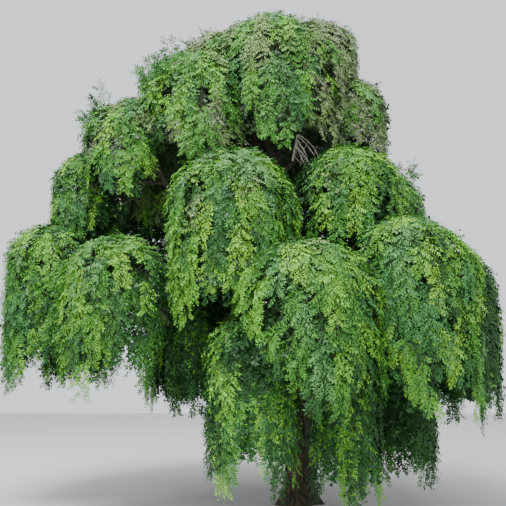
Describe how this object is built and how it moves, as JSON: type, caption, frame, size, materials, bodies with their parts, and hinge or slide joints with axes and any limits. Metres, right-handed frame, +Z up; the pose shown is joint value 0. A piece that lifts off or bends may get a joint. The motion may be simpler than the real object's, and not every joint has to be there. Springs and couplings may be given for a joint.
{
  "type": "weeping pagoda tree",
  "caption": "Mature weeping pagoda tree in full leaf: short trunk with a root flare, arching boughs and domed masses of hanging foliage round an open space.",
  "frame": {"origin": "middle of the flat cut under the trunk, at ground level", "axes": "+Z up the tree; -Y towards the side that the picture shows; +X to that view's right"},
  "size_m": [7.2155, 6.4364, 7.5572],
  "materials": {
    "bark": "rough furrowed bark",
    "dead_wood": "dry bare twigs",
    "foliage_mid": "leaves, satin",
    "foliage_bright": "leaves, satin",
    "foliage_deep": "leaves, satin",
    "foliage_olive": "leaves, satin"
  },
  "bodies": {
    "root": {"trunk": "bark", "bough_top_front": "bark", "bough_top_right": "bark", "bough_top_rear": "bark", "bough_upper_right": "bark", "bough_upper_left": "bark", "bough_left_shoulder": "bark", "bough_left_outer": "bark", "bough_upper_rear_left": "bark", "bough_upper_rear": "bark", "bough_middle_front": "bark", "bough_middle_right": "bark", "bough_middle_far_right": "bark", "bough_middle_rear_right": "bark", "bough_middle_rear": "bark", "bough_middle_rear_left": "bark", "bough_low_left_front": "bark", "bough_low_left": "bark", "bough_low_left_rear": "bark", "bough_low_rear_left": "bark", "bough_low_rear_right": "bark", "bough_low_right_rear": "bark", "bough_low_right": "bark", "bough_low_right_front": "bark", "bough_low_front": "bark", "bough_front_left_curtain": "bark", "bough_front_right_curtain": "bark", "bough_right_curtain": "bark", "bough_inner_left_curtain": "bark", "foliage_top_front": "foliage_mid", "foliage_top_right": "foliage_bright", "foliage_top_rear": "foliage_deep", "foliage_upper_right": "foliage_olive", "foliage_upper_left": "foliage_mid", "foliage_left_shoulder": "foliage_bright", "foliage_left_outer": "foliage_deep", "foliage_upper_rear_left": "foliage_olive", "foliage_upper_rear": "foliage_mid", "foliage_middle_front": "foliage_bright", "foliage_middle_right": "foliage_deep", "foliage_middle_far_right": "foliage_olive", "foliage_middle_rear_right": "foliage_mid", "foliage_middle_rear": "foliage_bright", "foliage_middle_rear_left": "foliage_deep", "foliage_low_left_front": "foliage_olive", "foliage_low_left": "foliage_mid", "foliage_low_left_rear": "foliage_bright", "foliage_low_rear_left": "foliage_deep", "foliage_low_rear_right": "foliage_olive", "foliage_low_right_rear": "foliage_mid", "foliage_low_right": "foliage_bright", "foliage_low_right_front": "foliage_deep", "foliage_low_front": "foliage_olive", "foliage_front_left_curtain": "foliage_mid", "foliage_front_right_curtain": "foliage_bright", "foliage_right_curtain": "foliage_deep", "foliage_inner_left_curtain": "foliage_olive", "bare_twigs": "dead_wood"}
  },
  "joints": []
}
